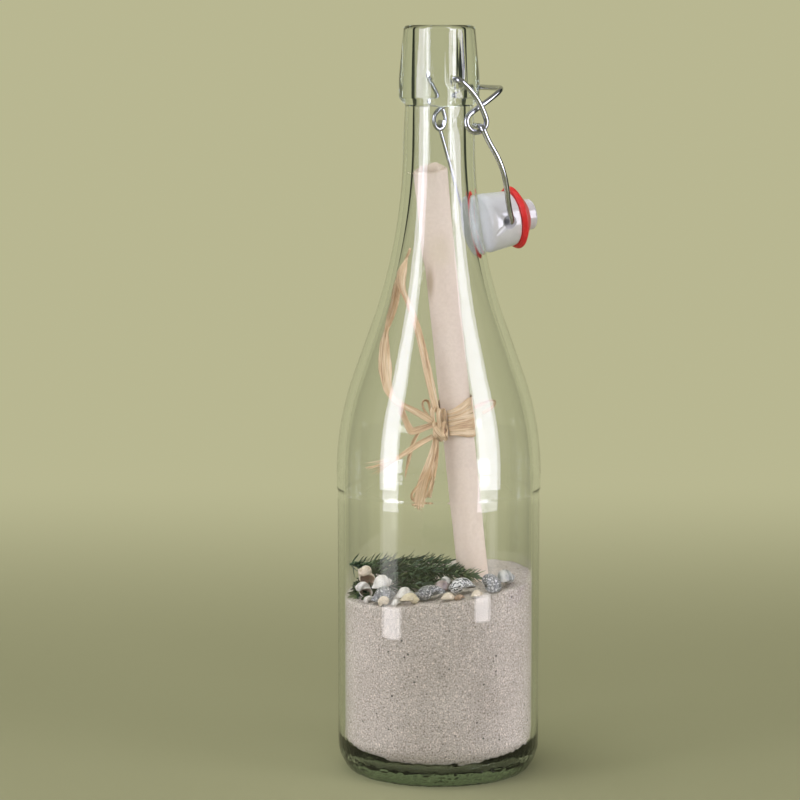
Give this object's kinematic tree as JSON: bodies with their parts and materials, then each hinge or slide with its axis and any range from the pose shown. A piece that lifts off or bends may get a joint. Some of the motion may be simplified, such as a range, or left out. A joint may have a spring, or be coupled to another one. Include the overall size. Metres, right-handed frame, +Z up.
{
  "type": "message in a bottle",
  "caption": "Clear glass swing-top bottle, open, holding a rolled letter tied with raffia that stands in sand with sea-snail shells and a green sprig.",
  "frame": {"origin": "the centre of the bottle's base, on the plane that its foot ring stands on", "axes": "+Z up along the bottle's axis to its mouth; +X to the right and +Y away from someone who looks at the front, with the closure hanging at the right, turned 24 degrees to the back"},
  "size_m": [0.089, 0.089, 0.325],
  "materials": {
    "clear_glass": "polished, faintly green, with a stippled foot",
    "steel_wire": "bright drawn steel wire",
    "white_glaze": "glossy white glaze",
    "red_rubber": "satin red rubber",
    "sand": "fine pale grey-brown sand with dark and light grains",
    "parchment": "matt cream paper",
    "raffia": "dry flat plant fibre, straw coloured",
    "greenery": "dark green needle-like leaves on a thin stem",
    "shell_pale": "satin cream shell",
    "shell_grey": "satin grey shell with fine speckles"
  },
  "bodies": {
    "bottle_body": {"bottle": "clear_glass", "sand": "sand", "message_scroll": "parchment", "raffia_wrap": "raffia", "raffia_knot": "raffia", "raffia_loop_tall": "raffia", "raffia_loop_low": "raffia", "raffia_loop_right": "raffia", "raffia_tail_left": "raffia", "raffia_tail_long": "raffia", "raffia_tail_short": "raffia", "sprig_long": "greenery", "sprig_short": "greenery", "shell_cream_mouth": "shell_pale", "shell_whitish": "shell_pale", "shell_open_dark": "shell_grey", "shell_small_pale": "shell_pale", "shell_dark_speckled": "shell_grey", "shell_pale_disc": "shell_pale", "shell_white_large": "shell_pale", "shell_white_small": "shell_pale", "shell_yellow_cream": "shell_pale", "shell_long_grey": "shell_grey", "shell_mauve": "shell_grey", "shell_little_grey": "shell_grey", "shell_cream_left": "shell_pale", "shell_striped": "shell_grey", "shell_brownish": "shell_grey", "shell_cream_right": "shell_pale", "shell_dark_dotted": "shell_grey", "shell_grey_right": "shell_grey"},
    "lever": {"lever_wire": "steel_wire"},
    "bail": {"bail_wire": "steel_wire"},
    "stopper_body": {"stopper": "white_glaze", "gasket": "red_rubber"}
  },
  "joints": [
    {"name": "lever_hinge", "type": "hinge", "parent": "bottle_body", "child": "lever", "pos_m": [0, 0, 0.3022], "axis": [0.4067, -0.9135, 0], "range_deg": [0, 55]},
    {"name": "bail_hinge", "type": "hinge", "parent": "lever", "child": "bail", "pos_m": [0.00883, 0.00393, 0.28229], "axis": [0.4067, -0.9135, 0], "range_deg": [0, 110]},
    {"name": "stopper_hinge", "type": "hinge", "parent": "bail", "child": "stopper_body", "pos_m": [0.02577, 0.01147, 0.24035], "axis": [0.4067, -0.9135, 0], "range_deg": [0, 59.4]}
  ],
  "couplings": [
    {"joint": "stopper_hinge", "follows": "bail_hinge", "ratio": 0.54}
  ]
}
